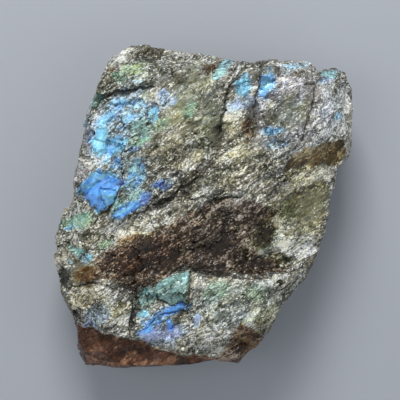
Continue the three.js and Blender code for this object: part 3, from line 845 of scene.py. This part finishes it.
    def _fields(self, points: Points, places: Points, front: Field) -> dict[str, Field]:
        """What the rock is at each point, by attribute name.

        Args:
            points: The stone's points in millimetres.
            places: The same points as seen on the face.
            front: 1 where the face's patches hold, 0 where the hidden stone's own pattern does.

        Returns:
            Fields from 0 to about 1: flash, hue and each Body.
        """
        shown = {body.value: np.zeros(len(points)) for body in Body}
        for mark in MARKS:
            share = soft_step(*self.patch_edge, mark.shape.depth(places))
            for body, amount in mark.amounts.items():
                shown[body.value] = np.maximum(shown[body.value], amount * share)
        shown["flash"], shown["hue"] = self._flashes(places)
        fields = {name: shown[name] * front + hidden * (1.0 - front)
                  for name, hidden in self._hidden_fields(points).items()}
        gloss = soft_step(*self.glassy_flash, fields["flash"])
        fields["glassy"] = np.maximum(fields["glassy"], gloss)
        return fields

    def _flashes(self, places: Points) -> tuple[Field, Field]:
        """How strongly each place flashes, and the hue that it flashes in."""
        flash = np.zeros(len(places))
        weighed = np.zeros(len(places))
        weights = np.full(len(places), 1e-6)
        for patch in FLASHES:
            depth = np.clip(patch.shape.depth(places), -1.0, 1.0)
            strength = patch.amount * soft_step(*self.flash_edge, depth)
            flash = np.maximum(flash, strength)
            weight = strength**self.hue_sharpness
            weighed += weight * patch.hue.value
            weights += weight
        return flash, weighed / weights

    def _hidden_fields(self, points: Points) -> dict[str, Field]:
        """The pattern of the sides and back, which runs on from the plates of the face."""
        noise = RandomField(self.VEIN_SEED)
        fields = {}
        for vein in VEINS:
            at = self.foliation.stretched(points, vein.sizes) + vein.shift
            share = soft_step(vein.low, vein.high, noise.cloud(at, vein.octaves))
            fields[vein.field] = share * vein.amount
        drift = noise.cloud(self.foliation.stretched(points, SEAMS) + self.HUE_SHIFT, 2)
        fields["hue"] = np.clip(self.hidden_hue + self.hidden_hue_reach * drift, 0.0, 1.0)
        return fields

    def _break(self, points: Points, sway: Points, calm: Field, upright: Field) -> Relief:
        """Breaks the surface into plates of each size.

        Args:
            points: The stone's points in millimetres.
            sway: Random offsets that make the plates' edges ragged.
            calm: 1 where the surface stays smooth.
            upright: 1 on the sides, 0 on the face and the back.

        Returns:
            Heights along the normals, how light, glassy and warm each plate is, and the painted
            shade in the lines between plates.
        """
        lift = self.swell * RandomField(self.SWELL_SEED).cloud(points / self.swell_size, 3)
        tone, glass, warmth, edge = np.zeros((4, len(points)))
        for seed, breakage in enumerate(self.breakages, self.PLATE_SEED):
            sizes = np.array(breakage.sizes)
            at = self.foliation.stretched(points + sway * self.plate_sway * sizes[1], sizes)
            offset, luck, gap = RandomField(seed).cells(at)
            tilted = np.sum(offset * sizes * (2.0 * luck - 1.0), axis=1)
            line = 1.0 - soft_step(0.0, self.line_width, gap)
            line = line * soft_step(*self.line_chance, luck[:, 1])
            lift += breakage.rise * (2.0 * luck[:, 0] - 1.0) + breakage.slope * tilted
            lift -= breakage.groove * line
            tone += breakage.tone * (2.0 * luck[:, 2] - 1.0)
            variety = 2.0 * ((luck * self.RESHUFFLE) % 1.0) - 1.0
            glass += breakage.tone * variety[:, 0]
            warmth += breakage.tone * variety[:, 1]
            # painted shade in the grooves, darker the deeper the groove
            edge = np.maximum(edge, line * min(1.0, self.line_shade * breakage.groove))
        lift = lift * (1.0 - self.glassy_calm * calm) * (1.0 - self.side_calm * upright)
        return Relief(lift, tone, glass, warmth, edge * (1.0 - self.line_calm * calm))

    @staticmethod
    def _plates(places: Points) -> Field:
        """How far the named plates stand out at each place."""
        lift = np.zeros(len(places))
        for plate in PLATES:
            lift += plate.rise * soft_step(-plate.edge, plate.edge, plate.shape.depth(places))
        return lift

    def _cuts(self, places: Points) -> Field:
        """How deep the cracks are at each place."""
        return np.max([crack.depth * soft_step(*self.crack_walls, crack.closeness(places))
                       for crack in CRACKS], axis=0)

    def _seam_shades(self, places: Points) -> Field:
        """Painted shade along the cracks, darkest in the middle of the deep ones."""
        return np.max([crack.darkness() * soft_step(*self.crack_shade, crack.closeness(places))
                       for crack in CRACKS], axis=0)

    def _settled(self, base: Points, normals: Points, lift: Field) -> Points:
        """The lifted points, with the back pitted inwards only and nothing below the floor."""
        back = soft_step(*self.back_slopes, normals[:, 2]) * soft_step(*self.back_heights, base[:, 2])
        lift = lift * (1.0 - back) - np.clip(lift, 0.0, self.back_pits) * back
        moved = base + normals * lift[:, None]
        moved[:, 2] = np.maximum(moved[:, 2], 0.0)
        return moved

    @staticmethod
    def _write(mesh: bpy.types.Mesh, moved: Points, fields: dict[str, Field]) -> None:
        """Puts the points back in metres and stores each field as an attribute."""
        mesh.vertices.foreach_set("co", (moved * MM).astype(np.float32).ravel())
        for name, values in fields.items():
            attribute = mesh.attributes.new(name, "FLOAT", "POINT")
            attribute.data.foreach_set("value", values.astype(np.float32))
        mesh.update()

    def _thin_out(self, stone: bpy.types.Object) -> None:
        """Takes triangles out of the flatter faces and keeps edges sharper than the set angle."""
        stone.data.calc_loop_triangles()
        thin = stone.modifiers.new("thin", "DECIMATE")
        thin.ratio = min(1.0, self.triangles / len(stone.data.loop_triangles))
        bpy.ops.object.modifier_apply(modifier=thin.name)
        for vertex in stone.data.vertices:
            vertex.co.z = max(vertex.co.z, 0.0)
        bpy.ops.object.shade_smooth_by_angle(angle=math.radians(self.sharp_angle))


# Shaders


class Link:
    """A shader value that sums and products can be written with."""

    def __init__(self, graph: "Graph", socket: bpy.types.NodeSocket) -> None:
        """Wraps a node's output."""
        self.graph = graph
        self.socket = socket

    def __add__(self, other: "Term") -> "Link":
        """This plus another."""
        return self.graph.math("ADD", self, other)

    def __sub__(self, other: "Term") -> "Link":
        """This minus another."""
        return self.graph.math("SUBTRACT", self, other)

    def __rsub__(self, other: float) -> "Link":
        """Another minus this."""
        return self.graph.math("SUBTRACT", other, self)

    def __mul__(self, other: "Term") -> "Link":
        """This times another."""
        return self.graph.math("MULTIPLY", self, other)

    __radd__ = __add__

    def step(self, low: float, high: float) -> "Link":
        """A smooth ramp from 0 at `low` to 1 at `high`."""
        return self.graph.node("ShaderNodeMapRange", {"interpolation_type": "SMOOTHSTEP"},
                               {"Value": self, "From Min": low, "From Max": high})

    def clamped(self) -> "Link":
        """This, kept from 0 to 1."""
        return self.graph.node("ShaderNodeClamp", {}, {"Value": self})


Term = Union[Link, float]
Colour = tuple[float, float, float]
Stops = tuple[tuple[float, Colour], ...]


class Graph:
    """The nodes of one material."""

    def __init__(self, name: str) -> None:
        """Starts an empty material."""
        self.material = bpy.data.materials.new(name)
        self.material.use_nodes = True
        self.tree = self.material.node_tree
        self.tree.nodes.clear()

    def node(self, kind: str, settings: dict[str, Any], inputs: dict[str, Any],
             output: Union[str, int] = 0) -> Link:
        """Adds a node.

        Args:
            kind: The node's type.
            settings: Its settings; "stops" holds a ramp's stops.
            inputs: Values or links by socket name.
            output: The name or number of the output to give back.

        Returns:
            That output.
        """
        made = self.tree.nodes.new(kind)
        for key, value in settings.items():
            if key == "stops":
                self._set_stops(made.color_ramp, value)
            else:
                setattr(made, key, value)
        for key, value in inputs.items():
            self._feed(made, key, value)
        if isinstance(output, int):
            return Link(self, [s for s in made.outputs if s.enabled][output])
        return Link(self, next(s for s in made.outputs if s.name == output and s.enabled))

    def _feed(self, made: bpy.types.Node, key: str, value: Any) -> None:
        """Sets or links the enabled input of that name; "Value#1" means the second of a name."""
        name, _, number = key.partition("#")
        sockets = [s for s in made.inputs if s.name == name and s.enabled]
        socket = sockets[int(number or 0)]
        if isinstance(value, Link):
            self.tree.links.new(value.socket, socket)
        elif socket.type == "RGBA" and len(value) == 3:
            socket.default_value = (*value, 1.0)
        else:
            socket.default_value = value

    @staticmethod
    def _set_stops(ramp: bpy.types.ColorRamp, stops: Stops) -> None:
        """Gives a ramp its stops."""
        while len(ramp.elements) < len(stops):
            ramp.elements.new(1.0)
        for element, (place, colour) in zip(ramp.elements, stops):
            element.position = place
            element.color = (*colour, 1.0)

    def math(self, operation: str, first: Term, second: Term) -> Link:
        """A Math node on two terms."""
        return self.node("ShaderNodeMath", {"operation": operation},
                         {"Value": first, "Value#1": second})

    def vector(self, operation: str, first: Any, second: Any,
               output: Union[str, int] = 0) -> Link:
        """A Vector Math node on two vectors."""
        return self.node("ShaderNodeVectorMath", {"operation": operation},
                         {"Vector": first, "Vector#1": second}, output)

    def mix(self, factor: Term, first: Any, second: Any) -> Link:
        """A colour between two colours."""
        return self.node("ShaderNodeMix", {"data_type": "RGBA"},
                         {"Factor": factor, "A": first, "B": second})

    def dyed(self, colour: Link, dye: Any) -> Link:
        """One colour times another."""
        return self.node("ShaderNodeMix", {"data_type": "RGBA", "blend_type": "MULTIPLY"},
                         {"Factor": 1.0, "A": colour, "B": dye})

    def grey(self, value: Link) -> Link:
        """A grey as light as the value."""
        return self.node("ShaderNodeCombineColor", {}, {"Red": value, "Green": value, "Blue": value})

    def ramp(self, value: Link, stops: Stops) -> Link:
        """A colour from a ramp."""
        return self.node("ShaderNodeValToRGB", {"stops": stops}, {"Fac": value}, "Color")

    def attribute(self, name: str) -> Link:
        """One of the mesh's own fields."""
        return self.node("ShaderNodeAttribute", {"attribute_name": name}, {}, "Fac")

    def finish(self, surface: Link) -> None:
        """Sends a surface to the material's output."""
        out = self.tree.nodes.new("ShaderNodeOutputMaterial")
        self.tree.links.new(surface.socket, out.inputs["Surface"])

    def split(self, colour: Link) -> tuple[Link, Link, Link]:
        """A colour's three numbers."""
        parts = self.node("ShaderNodeSeparateColor", {}, {"Color": colour}).socket.node
        return tuple(Link(self, parts.outputs[name]) for name in ("Red", "Green", "Blue"))


@dataclass(frozen=True)
class Grain:
    """A field of grains in the shader: its random numbers and the slopes of its facets."""

    luck: tuple[Link, Link, Link]
    facets: Link

    def swing(self, which: int) -> Link:
        """One of each grain's random numbers, moved to lie from -0.5 to 0.5."""
        return self.luck[which] - 0.5


@dataclass(frozen=True)
class Noise:
    """Cloudy noise in the shader: bumps to the millimetre, octaves and roughness."""

    scale: float
    detail: float
    rough: float


@dataclass(frozen=True)
class Patterns:
    """All the random patterns that the rock is made of."""

    fine: Grain
    coarse: Grain
    spark: Grain
    cloud: Link
    mottle: Link
    streak: Link
    hair: Link


@dataclass(frozen=True)
class Tint:
    """A kind of rock that only colours the common rock."""

    body: Body
    colour: Colour


@dataclass(frozen=True)
class LabradoriteFinish:
    """Rough labradorite: speckled rock in several tones, with painted glints, painted shade in its cracks
    and flashes where it is cleaved.

    Grains and streaks have sizes along, across and through the plates, in millimetres. A pair of
    numbers is where a soft edge starts and ends. In the methods' sums, the number beside a pattern
    is its share.
    """

    name: str = "labradorite"
    foliation: Foliation = Foliation()
    fine: tuple[float, float, float] = (0.9, 0.4, 0.5)
    coarse: tuple[float, float, float] = (3.2, 1.1, 1.5)
    spark: tuple[float, float, float] = (0.46, 0.28, 0.34)
    streak: tuple[float, float, float] = (6.5, 0.75, 1.6)
    hair: tuple[float, float, float] = (3.6, 0.42, 0.8)
    wide_bend: Noise = Noise(0.08, 1.0, 0.5)
    wide_bend_reach: float = 4.0
    small_bend: Noise = Noise(0.5, 3.0, 0.5)
    small_bend_reach: float = 1.0
    cloud: Noise = Noise(0.16, 6.0, 0.65)
    mottle: Noise = Noise(0.8, 4.0, 0.6)
    streak_noise: Noise = Noise(1.0, 4.0, 0.6)
    hair_noise: Noise = Noise(1.0, 3.0, 0.65)
    rock: Stops = (
        (0.1, (0.014, 0.014, 0.01)), (0.32, (0.055, 0.055, 0.043)), (0.5, (0.15, 0.152, 0.126)),
        (0.68, (0.33, 0.335, 0.295)), (0.9, (0.62, 0.64, 0.6)))
    smoky: Stops = (
        (0.12, (0.006, 0.003, 0.001)), (0.4, (0.024, 0.014, 0.007)), (0.57, (0.08, 0.056, 0.036)),
        (0.78, (0.32, 0.27, 0.215)))
    tints: tuple[Tint, ...] = (
        Tint(Body.RUSSET, (1.3, 0.95, 0.72)),
        Tint(Body.OLIVE, (1.05, 1.0, 0.66)), Tint(Body.SAGE, (0.92, 1.0, 0.84)),
        Tint(Body.MINT, (0.91, 1.03, 1.08)), Tint(Body.LILAC, (0.98, 0.98, 1.2)),
        Tint(Body.UMBER, (1.0, 0.65, 0.5)))
    cool: Colour = (0.94, 0.98, 1.12)
    warm: Colour = (1.1, 1.0, 0.82)
    # painted glints: the colours of the light flecks that stand for small facets catching the light
    white_glint: Colour = (0.8, 0.81, 0.76)
    smoky_glint: Colour = (0.52, 0.47, 0.42)
    pit: Colour = (0.25, 0.24, 0.22)
    # the colour of the painted shade in the cracks and grooves
    seam: Colour = (0.026, 0.023, 0.019)
    haze: Colour = (0.8, 1.04, 1.24)
    green_haze: Colour = (0.84, 1.08, 0.96)
    flash: Stops = (
        (Hue.LIME.value, (0.4, 0.46, 0.2)), (Hue.GREEN.value, (0.2, 0.38, 0.27)),
        (Hue.TEAL.value, (0.14, 0.31, 0.32)), (Hue.AQUA.value, (0.33, 0.57, 0.55)),
        (Hue.CYAN.value, (0.19, 0.54, 0.76)), (Hue.SKY.value, (0.15, 0.39, 0.6)),
        (Hue.BLUE.value, (0.07, 0.31, 0.84)), (Hue.INDIGO.value, (0.12, 0.2, 0.52)),
        (Hue.LAVENDER.value, (0.28, 0.3, 0.46)))
    smoky_edge: Band = (0.3, 0.7)
    tint_edge: Band = (0.1, 0.9)
    glint_edge: Band = (1.03, 1.1)
    pit_edge: Band = (0.44, 0.5)
    flash_edge: Band = (0.25, 1.0)
    haze_edge: Band = (0.0, 0.6)
    green_haze_edge: Band = (0.2, 0.5)
    seam_shade_edge: Band = (0.3, 0.8)
    mean_value: float = 0.51  # of the rock, from 0 for black to 1 for white
    plate_tone: float = 0.16  # how far plates differ in value
    pale_rise: float = 0.26
    dark_fall: float = 0.34
    speckle_calm: float = 0.8  # the share of its speckles that glassy rock loses
    streak_calm: float = 0.55  # and of its streaks and clouds
    smoky_contrast: float = 1.25
    smoky_fall: float = 0.13
    glint_cover: float = 0.8  # the share of the rock's colour that a painted glint hides
    pit_cover: float = 0.7
    flash_cover: float = 0.9
    glint_over_flash: float = 0.4  # the share of the flash that a painted glint hides
    seam_shade_cover: float = 0.7
    roughness: float = 0.58  # of the dullest grains
    facet_gloss: float = 0.25  # how much smoother the glossiest grains are
    flash_gloss: float = 0.1
    glassy_gloss: float = 0.2
    flash_metal: float = 0.15
    glassy_flatness: float = 0.7  # the share of its fine relief that glassy rock loses
    bump: float = 0.25
    gloss: float = 0.32
    refraction: float = 1.47

    def build(self) -> bpy.types.Material:
        """Makes the material."""
        g = Graph(self.name)
        patterns = self._patterns(g)
        value = self._value(g, patterns)
        colour, flash = self._colour(g, patterns, value)
        self._shade(g, patterns, colour, flash)
        return g.material

    def _patterns(self, g: Graph) -> Patterns:
        """The random patterns, which run with the plates and wander a little."""
        place = g.node("ShaderNodeTexCoord", {}, {}, "Object")
        place = g.node("ShaderNodeVectorMath", {"operation": "SCALE"},
                       {"Vector": place, "Scale": 1.0 / MM})
        place = self._bent(g, place, self.wide_bend, self.wide_bend_reach)
        place = self._bent(g, place, self.small_bend, self.small_bend_reach)
        streaks = self._stretched(g, place, self.streak)
        hairs = self._stretched(g, place, self.hair)
        return Patterns(
            self._grain(g, place, self.fine), self._grain(g, place, self.coarse),
            self._grain(g, place, self.spark), self._noise(g, place, self.cloud) - 0.5,
            self._noise(g, place, self.mottle) - 0.5, self._noise(g, streaks, self.streak_noise) - 0.5,
            self._noise(g, hairs, self.hair_noise) - 0.5)

    @staticmethod
    def _noise(g: Graph, place: Link, noise: Noise, output: Union[str, int] = 0) -> Link:
        """Noise around 0.5, as a value or as a colour."""
        return g.node("ShaderNodeTexNoise", {}, {
            "Vector": place, "Scale": noise.scale, "Detail": noise.detail,
            "Roughness": noise.rough}, output)

    def _bent(self, g: Graph, place: Link, noise: Noise, reach: float) -> Link:
        """The place moved about by soft noise, by up to half the reach in millimetres."""
        away = g.vector("SUBTRACT", self._noise(g, place, noise, "Color"), (0.5, 0.5, 0.5))
        return g.vector("ADD", place, g.vector("MULTIPLY", away, (reach, reach, reach)))

    def _stretched(self, g: Graph, place: Link, sizes: Sequence[float]) -> Link:
        """The place in units of a grain with those sizes along, across and through the plates."""
        parts = [g.vector("DOT_PRODUCT", place, tuple(axis / size), "Value")
                 for axis, size in zip(self.foliation.axes(), sizes)]
        return g.node("ShaderNodeCombineXYZ", {}, dict(zip("XYZ", parts)))

    def _grain(self, g: Graph, place: Link, sizes: Sequence[float]) -> Grain:
        """Broken grains, each a facet with a slope of its own."""
        at = self._stretched(g, place, sizes)
        cells = g.node("ShaderNodeTexVoronoi", {}, {"Vector": at, "Scale": 1.0}, "Color")
        seeds = Link(g, cells.socket.node.outputs["Position"])
        offset = g.vector("SUBTRACT", at, seeds)
        slope = g.vector("SUBTRACT", cells, (0.5, 0.5, 0.5))
        return Grain(g.split(cells), g.vector("DOT_PRODUCT", offset, slope, "Value"))

    def _value(self, g: Graph, p: Patterns) -> Link:
        """How light the rock is, 0 to 1, before its ramp of colours."""
        glassy = g.attribute("glassy")
        speckle = (p.fine.swing(0) * 0.32 + p.coarse.swing(0) * 0.1 + p.mottle * 0.4
                   + p.spark.swing(0) * 0.34)
        grain = p.cloud * 0.6 + p.streak * 0.75 + p.hair * 0.4
        value = speckle * (1.0 - glassy * self.speckle_calm) + grain * (1.0 - glassy * self.streak_calm)
        value = value + g.attribute("tone") * self.plate_tone + self.mean_value
        value = value + g.attribute("pale") * self.pale_rise - g.attribute("dark") * self.dark_fall
        return value.clamped()

    def _colour(self, g: Graph, p: Patterns, value: Link) -> tuple[Link, Link]:
        """The rock's colour and how much of it flashes."""
        ragged = p.mottle * 1.1 + p.coarse.swing(1) * 0.4
        smoky = (g.attribute("smoky") + ragged).step(*self.smoky_edge)
        smoky_value = value * self.smoky_contrast - self.smoky_fall
        colour = g.mix(smoky, g.ramp(value, self.rock), g.ramp(smoky_value, self.smoky))
        warmth = g.attribute("warmth") + p.coarse.swing(1) * 0.5 + p.spark.swing(0) * 0.4
        colour = g.dyed(colour, g.mix(warmth.clamped(), self.cool, self.warm))
        for tint in self.tints:
            amount = (g.attribute(tint.body.value) + ragged * 0.5).step(*self.tint_edge)
            colour = g.mix(amount, colour, g.dyed(colour, tint.colour))
        # painted glints: light flecks laid into the colour where small facets would catch the light
        fleck = self._painted_glints(g, p, value, smoky)
        colour = g.mix(fleck * self.glint_cover, colour, g.mix(smoky, self.white_glint, self.smoky_glint))
        pit = p.spark.luck[1] * 0.8 - p.mottle * 0.5 - value * 0.7 - g.attribute("glassy") * 0.2
        pit = pit.step(*self.pit_edge) * self.pit_cover
        colour = g.mix(pit, colour, g.dyed(colour, self.pit))
        haze = g.mix(g.attribute("hue").step(*self.green_haze_edge), self.green_haze, self.haze)
        hazy = g.attribute("flash").step(*self.haze_edge)
        colour = g.mix(hazy, colour, g.dyed(colour, haze))
        flash = self._flash(g, p)
        lit = flash * (self.flash_cover - fleck * self.glint_over_flash)
        colour = g.mix(lit, colour, self._glow(g, p, value))
        # painted shade in the cracks and grooves, from the mesh's attribute
        seam = (g.attribute("seam") + ragged * 0.5).step(*self.seam_shade_edge)
        return g.mix(seam * self.seam_shade_cover, colour, self.seam), flash

    def _painted_glints(self, g: Graph, p: Patterns, value: Link, smoky: Link) -> Link:
        """Where the painted glints are: light flecks in streaks, more of them where the rock is pale or
        smoky.
        """
        chance = (p.spark.luck[2] * (0.8 - smoky * 0.4) + p.mottle * 0.5
                  + p.hair * (1.0 + smoky * 0.7) + value * 0.7 + g.attribute("pale") * 0.1
                  + smoky * 0.19 - g.attribute("glassy") * 0.2)
        return chance.step(*self.glint_edge)

    def _flash(self, g: Graph, p: Patterns) -> Link:
        """How much of the colour is flash, broken up by grains and plates."""
        strength = (g.attribute("flash") + p.mottle * 0.9 + p.coarse.swing(1) * 0.45
                    + p.spark.swing(0) * 0.2 + g.attribute("tone") * 0.25)
        return strength.step(*self.flash_edge)

    def _glow(self, g: Graph, p: Patterns, value: Link) -> Link:
        """The flash's own colour."""
        hue = g.attribute("hue") + p.coarse.swing(2) * 0.14 + p.mottle * 0.16
        shade = value * 1.1 + g.attribute("tone") * 0.25 + 0.4
        return g.dyed(g.ramp(hue.clamped(), self.flash), g.grey(shade))

    def _shade(self, g: Graph, p: Patterns, colour: Link, flash: Link) -> None:
        """The surface: glassy cleavage faces among dull broken ones, and fine relief."""
        glassy = g.attribute("glassy")
        relief = p.fine.facets * 0.5 + p.coarse.facets * 0.4 + p.mottle * 0.4
        height = relief * (1.0 - glassy * self.glassy_flatness)
        normal = g.node("ShaderNodeBump", {},
                        {"Strength": self.bump, "Distance": MM, "Height": height})
        rough = (self.roughness - p.fine.luck[1] * self.facet_gloss
                 - flash * self.flash_gloss - glassy * self.glassy_gloss)
        g.finish(g.node("ShaderNodeBsdfPrincipled", {}, {
            "Base Color": colour, "Roughness": rough, "Normal": normal,
            "Metallic": flash * self.flash_metal, "IOR": self.refraction,
            "Specular IOR Level": self.gloss}))


# The studio


@dataclass(frozen=True)
class Lamp:
    """A soft square light, in metres and watts."""

    name: str
    place: tuple[float, float, float]
    side: float
    power: float
    colour: Colour = (1.0, 1.0, 1.0)


@dataclass
class Studio:
    """The pale floor, the soft lights and the camera that looks down on the stone."""

    floor_side: float = 6.0
    floor_colour: Colour = (0.32, 0.34, 0.38)
    floor_roughness: float = 0.8
    sky: Colour = (0.92, 0.96, 1.0)
    sky_strength: float = 0.4
    lens: float = 111.0
    aim: tuple[float, float, float] = (0.0, 0.0, 0.015)
    lamps: tuple[Lamp, ...] = (
        Lamp("window", (-0.05, 0.55, 0.5), 0.3, 5.2, (1.0, 0.99, 0.97)),
        Lamp("room", (0.45, -0.35, 0.6), 0.7, 1.1, (0.95, 0.98, 1.0)),
        Lamp("above", (-0.35, 0.0, 0.75), 0.35, 0.9),
    )

    def build(self) -> None:
        """Sets up the floor, the lights, the sky and the camera."""
        self._floor()
        for lamp in self.lamps:
            self._light(lamp)
        self._sky()
        self._camera()

    def _floor(self) -> bpy.types.Object:
        """A plain pale floor."""
        bpy.ops.object.select_all(action="DESELECT")
        bpy.ops.mesh.primitive_plane_add(size=self.floor_side)
        floor = bpy.context.object
        floor.name = "floor"
        g = Graph("floor")
        g.finish(g.node("ShaderNodeBsdfPrincipled", {},
                        {"Base Color": self.floor_colour, "Roughness": self.floor_roughness}))
        floor.data.materials.append(g.material)
        return floor

    def _light(self, lamp: Lamp) -> None:
        """One soft light, turned to the stone."""
        data = bpy.data.lights.new(lamp.name, "AREA")
        data.size = lamp.side
        data.energy = lamp.power
        data.color = lamp.colour
        light = bpy.data.objects.new(lamp.name, data)
        light.location = lamp.place
        towards = Vector(self.aim) - Vector(lamp.place)
        light.rotation_euler = towards.to_track_quat("-Z", "Y").to_euler()
        bpy.context.scene.collection.objects.link(light)

    def _sky(self) -> None:
        """An even, faintly cool light from all round."""
        world = bpy.data.worlds.new("room")
        world.use_nodes = True
        background = world.node_tree.nodes["Background"]
        background.inputs["Color"].default_value = (*self.sky, 1.0)
        background.inputs["Strength"].default_value = self.sky_strength
        bpy.context.scene.world = world
        bpy.context.scene.view_settings.view_transform = "Standard"

    def _camera(self) -> None:
        """A camera straight above the stone, its top towards the crown."""
        data = bpy.data.cameras.new("camera")
        data.lens = self.lens
        camera = bpy.data.objects.new("camera", data)
        camera.location = Vector(EYE) * MM
        bpy.context.scene.collection.objects.link(camera)
        bpy.context.scene.camera = camera


def main() -> None:
    """Builds the studio and the stone."""
    logging.basicConfig(level=logging.INFO, format="%(message)s")
    Studio().build()
    stone = Stone().build()
    stone.data.materials.clear()
    stone.data.materials.append(LabradoriteFinish().build())
    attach(stone, BODY)
    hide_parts(CAD_NODE)
    log.info("%s: %d points, %d faces", stone.name, len(stone.data.vertices),
             len(stone.data.polygons))


if __name__ == "__main__":
    main()
